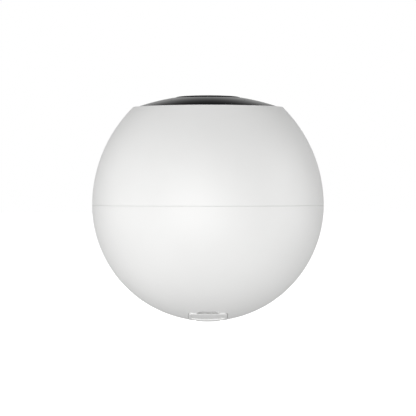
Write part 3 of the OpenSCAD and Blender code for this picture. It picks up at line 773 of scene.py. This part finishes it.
def make_dome_cover():
    top, under = [], []
    for i in range(25):
        r = 15.2 + (30.62 - 15.2) * i / 24
        top.append((r, height_on(DOME_R, DOME_TOP, r)))
    for i in range(13):
        r = 29.3 + (15.05 - 29.3) * i / 12
        under.append((r, height_on(DOME_R - 1.8, DOME_TOP - 1.8, r)))
    edge = height_on(DOME_R, DOME_TOP, 30.62)
    outline = [(15.05, height_on(DOME_R, DOME_TOP, 15.05) - 0.13),
               (15.09, height_on(DOME_R, DOME_TOP, 15.05) - 0.04)]
    outline += top + [(30.76, edge - 0.1), (30.86, edge - 0.24), (30.9, edge - 0.42)]
    outline += [(30.9, 40.4), (30.8, 40.3), (29.4, 40.3), (29.3, 40.4)] + under
    dome = turned("dome_cover_skin", outline, 256)
    holes = [rod("bore", 0.45, 40, 48, p, 24) for p in around(22, [45, 135, 225, 315])]
    carve(dome, gather(*holes))
    return hand_over(dome, "housing", GLOSS_BLACK, "dome_black", "dome_cover")


def make_button():
    crown = [(r, height_on(BUTTON_R, BUTTON_TOP, r)) for r in (0, 1.5, 3, 4.5, 6, 7.5, 9, 10.5, 11.3)]
    outline = crown + [(11.9, 46.99), (12.5, 46.92), (13.1, 46.82), (13.6, 46.7), (13.9, 46.58),
                       (14.1, 46.42), (14.19, 46.2), (14.2, 46.0)]
    outline += [(14.2, 43.36), (15.5, 43.36), (15.6, 43.26), (15.6, 42.85), (15.5, 42.75),
                (13.1, 42.75), (13.0, 42.85), (13.0, 45.4), (12.6, 45.8), (2.9, 45.8),
                (2.5, 45.4), (2.5, 43.45), (2.4, 43.35), (0, 43.35)]
    button = turned("button_cap_skin", outline, 192)
    return hand_over(button, "button", SOFT_BLACK, "button_black", "button_cap")


def make_light_ring():
    outline = [(14.32, 45.9)] + arc((14.62, 45.9), 0.3, 180, 0, 8)
    outline += [(14.93, 44.0), (17.4, 44.0), (17.5, 43.9), (17.5, 43.5), (17.4, 43.4),
                (14.4, 43.4), (14.32, 43.5)]
    ring = turned("light_ring_skin", outline, 192)
    return hand_over(ring, "housing", DIFFUSER, "diffuser", "light_ring")


def make_gap_mesh():
    """Perforated band across the sound gap: two hoops and a bar every two degrees."""
    hoops = [turned("hoop", [(low, 39.4), (high, 39.4), (high, 40), (low, 40)], 192)
             for low, high in ((30.35, 30.62), (31.28, 31.55))]
    bars = block("bar", (30.5, 31.4), (-0.14, 0.14), (39.45, 39.95))
    choose(bars)
    bpy.ops.object.mode_set(mode="EDIT")
    bpy.ops.mesh.select_all(action="SELECT")
    bpy.ops.mesh.spin(steps=180, angle=2 * math.pi, dupli=True, center=(0, 0, 0), axis=(0, 0, 1))
    bpy.ops.object.mode_set(mode="OBJECT")
    band = gather(hoops[0], hoops[1], bars)
    band.name = "gap_mesh_band"
    return hand_over(band, "housing", BLACK_PLASTIC, "black_plastic", "gap_mesh")


make_upper_shell()
make_lower_shell()
make_port_flap()
make_flap_seal()
make_base_pad()
make_dome_cover()
make_button()
make_light_ring()
make_gap_mesh()


# ---- CAD nodes that keep their own shape ----

KEPT = {
    "seam_seal": BLACK_RUBBER, "flap_hinge_pin": ZINC_STEEL, "dome_carrier": BLACK_PLASTIC,
    "control_board": SOLDER_MASK, "ring_leds": LED, "microphones": TIN,
    "mic_gaskets": BLACK_RUBBER, "tact_switch": EPOXY, "switch_plunger": NYLON,
    "button_springs": ZINC_STEEL, "carrier_screws": ZINC_STEEL,
    "control_board_screws": ZINC_STEEL, "driver_basket": BASKET_PAINT,
    "driver_gasket": BLACK_RUBBER, "driver_top_plate": TURNED_STEEL,
    "driver_magnet": FERRITE, "driver_yoke": TURNED_STEEL, "coil_former": FILM,
    "coil_winding": COPPER, "driver_cone": PAPER, "dust_cap": PAPER,
    "driver_surround": BLACK_RUBBER, "driver_spider": SPIDER_CLOTH,
    "driver_terminals": EPOXY, "driver_screws": ZINC_STEEL, "main_board": SOLDER_MASK,
    "processor_shield": TIN, "wifi_module": TIN, "board_components": EPOXY,
    "board_connectors": NYLON, "main_board_screws": ZINC_STEEL, "antenna": SOLDER_MASK,
    "battery_cradle": BLACK_PLASTIC, "battery_cells": CELL_WRAP, "battery_tabs": TIN,
    "battery_clamp": ZINC_STEEL, "battery_screws": ZINC_STEEL, "base_weight": TURNED_STEEL,
    "base_weight_screws": ZINC_STEEL, "port_board": SOLDER_MASK, "usb_receptacle": TIN,
    "port_board_screws": ZINC_STEEL, "tie_screws": ZINC_STEEL, "threaded_inserts": BRASS,
    "driver_leads": RED_WIRE, "battery_leads": RED_WIRE, "control_ribbon": RIBBON,
    "port_ribbon": RIBBON,
}


for name, material in KEPT.items():
    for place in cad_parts[name].material_slots:
        place.material = material


# ---- stage and light ----

def make_stage():
    """White paper that glows a little so that it stays clean, clear from underneath."""
    bpy.ops.object.select_all(action="DESELECT")
    bpy.ops.mesh.primitive_plane_add(size=8, location=(0, 0, 0))
    floor = bpy.context.object
    floor.name = "floor"
    floor.visible_diffuse = False
    floor.visible_glossy = False
    floor.visible_shadow = False
    material, tree, shader = finish("white_paper_sweep", "#F4F4F4", 0.9, Specular_IOR_Level=0.0,
                                    Emission_Color=(1, 1, 1, 1), Emission_Strength=1.0)
    grain(tree, shader, 2, 0.02)
    side = node(tree, "ShaderNodeNewGeometry")
    clear = node(tree, "ShaderNodeBsdfTransparent")
    sheet = node(tree, "ShaderNodeMixShader",
                 links={0: side.outputs["Backfacing"], 1: shader.outputs["BSDF"],
                        2: clear.outputs["BSDF"]})
    tree.links.new(sheet.outputs["Shader"], tree.nodes["Material Output"].inputs["Surface"])
    floor.data.materials.append(material)


WALL_PALE = 0.45                      # brightness of the walls low down and high up
WALL_DARK = 0.05
WALL_PALE_TO = math.sin(math.radians(15))
WALL_DARK_FROM = math.sin(math.radians(35))


def make_room():
    """A plain pale room: its walls are palest near the floor and darken towards the ceiling."""
    world = bpy.data.worlds.new("studio_room")
    scene.world = world
    world.use_nodes = True
    tree = world.node_tree
    tree.nodes.clear()
    coords = node(tree, "ShaderNodeTexCoord")
    side = node(tree, "ShaderNodeSeparateXYZ", links={"Vector": coords.outputs["Generated"]})
    wall = node(tree, "ShaderNodeMapRange",
                {"From Min": WALL_PALE_TO, "From Max": WALL_DARK_FROM,
                 "To Min": WALL_PALE, "To Max": WALL_DARK},
                {"Value": side.outputs["Z"]}, interpolation_type="SMOOTHSTEP")
    room = node(tree, "ShaderNodeBackground", {"Color": (1, 1, 1, 1)},
                {"Strength": wall.outputs["Result"]})
    backdrop = node(tree, "ShaderNodeBackground", {"Color": (1, 1, 1, 1), "Strength": 1.0})
    path = node(tree, "ShaderNodeLightPath")
    mix = node(tree, "ShaderNodeMixShader",
               links={0: path.outputs["Is Camera Ray"], 1: room.outputs[0],
                      2: backdrop.outputs[0]})
    node(tree, "ShaderNodeOutputWorld", links={"Surface": mix.outputs[0]})


make_stage()
make_room()
soft_box("key", 45, 2.5, (-0.5, -2.3, 0.1))
soft_box("left_fill", 12, 2, (-2.2, 0, 0.3))
soft_box("right_fill", 16, 2, (2.2, 0, 0.3))
soft_box("top_light", 12, 1.5, (0, 0.8, 2))
